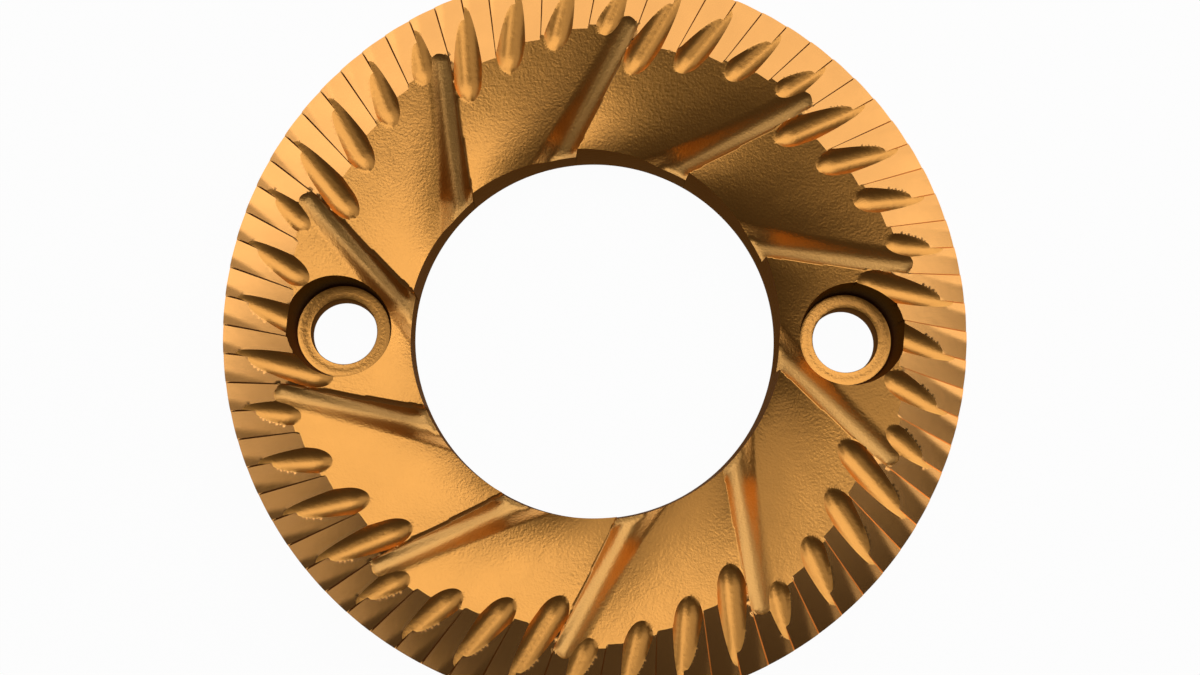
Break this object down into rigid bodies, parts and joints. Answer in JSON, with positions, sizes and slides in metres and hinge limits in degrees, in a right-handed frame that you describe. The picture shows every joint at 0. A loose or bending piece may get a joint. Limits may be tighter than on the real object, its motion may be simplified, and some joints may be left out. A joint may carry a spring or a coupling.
{
  "type": "coffee grinder burr",
  "caption": "Flat ring burr of a coffee grinder: gold-coated cast disc with sloped ribs and round scoops leading out to a finely toothed land, held by screws sunk in seats.",
  "frame": {"origin": "centre of the bore on the flat back face", "axes": "+Z along the bore axis toward the toothed working face, +X through one screw seat"},
  "size_m": [0.08, 0.08, 0.008],
  "materials": {
    "coated_steel": "cast steel with a satin gold coating, smooth ground land and slightly grainy floors"
  },
  "bodies": {
    "root": {"burr": "coated_steel"}
  },
  "joints": []
}
